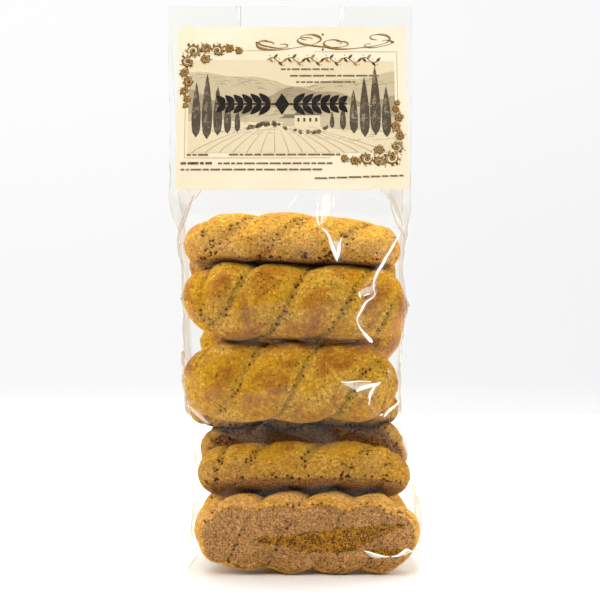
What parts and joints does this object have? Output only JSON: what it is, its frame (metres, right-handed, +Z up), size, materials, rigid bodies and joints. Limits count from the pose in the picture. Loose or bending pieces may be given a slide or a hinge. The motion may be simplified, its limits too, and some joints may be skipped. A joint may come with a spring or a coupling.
{
  "type": "bagged twisted biscotti",
  "caption": "Clear gusseted film bag of rope-twisted golden biscuits, stacked in two columns on a flat base, with a closed header and a cream paper label.",
  "frame": {"origin": "on the floor under the middle of the pack's box, in both directions", "axes": "+Z up along the standing bag; -Y is the front, where the label is; X runs along the biscuits, +X to the right seen from the front"},
  "size_m": [0.129, 0.073, 0.292],
  "materials": {
    "biscuits_in_film": "golden baked biscuit seen through clear glossy film",
    "biscuit_crust": "dry baked crust, golden with browned egg-wash patches and a paler brown base",
    "film": "clear crisp film, glossy, with whitened creases",
    "label_paper": "smooth cream paper with brown and sepia print"
  },
  "bodies": {
    "root": {"bag": "biscuits_in_film", "label": "label_paper"}
  },
  "joints": []
}
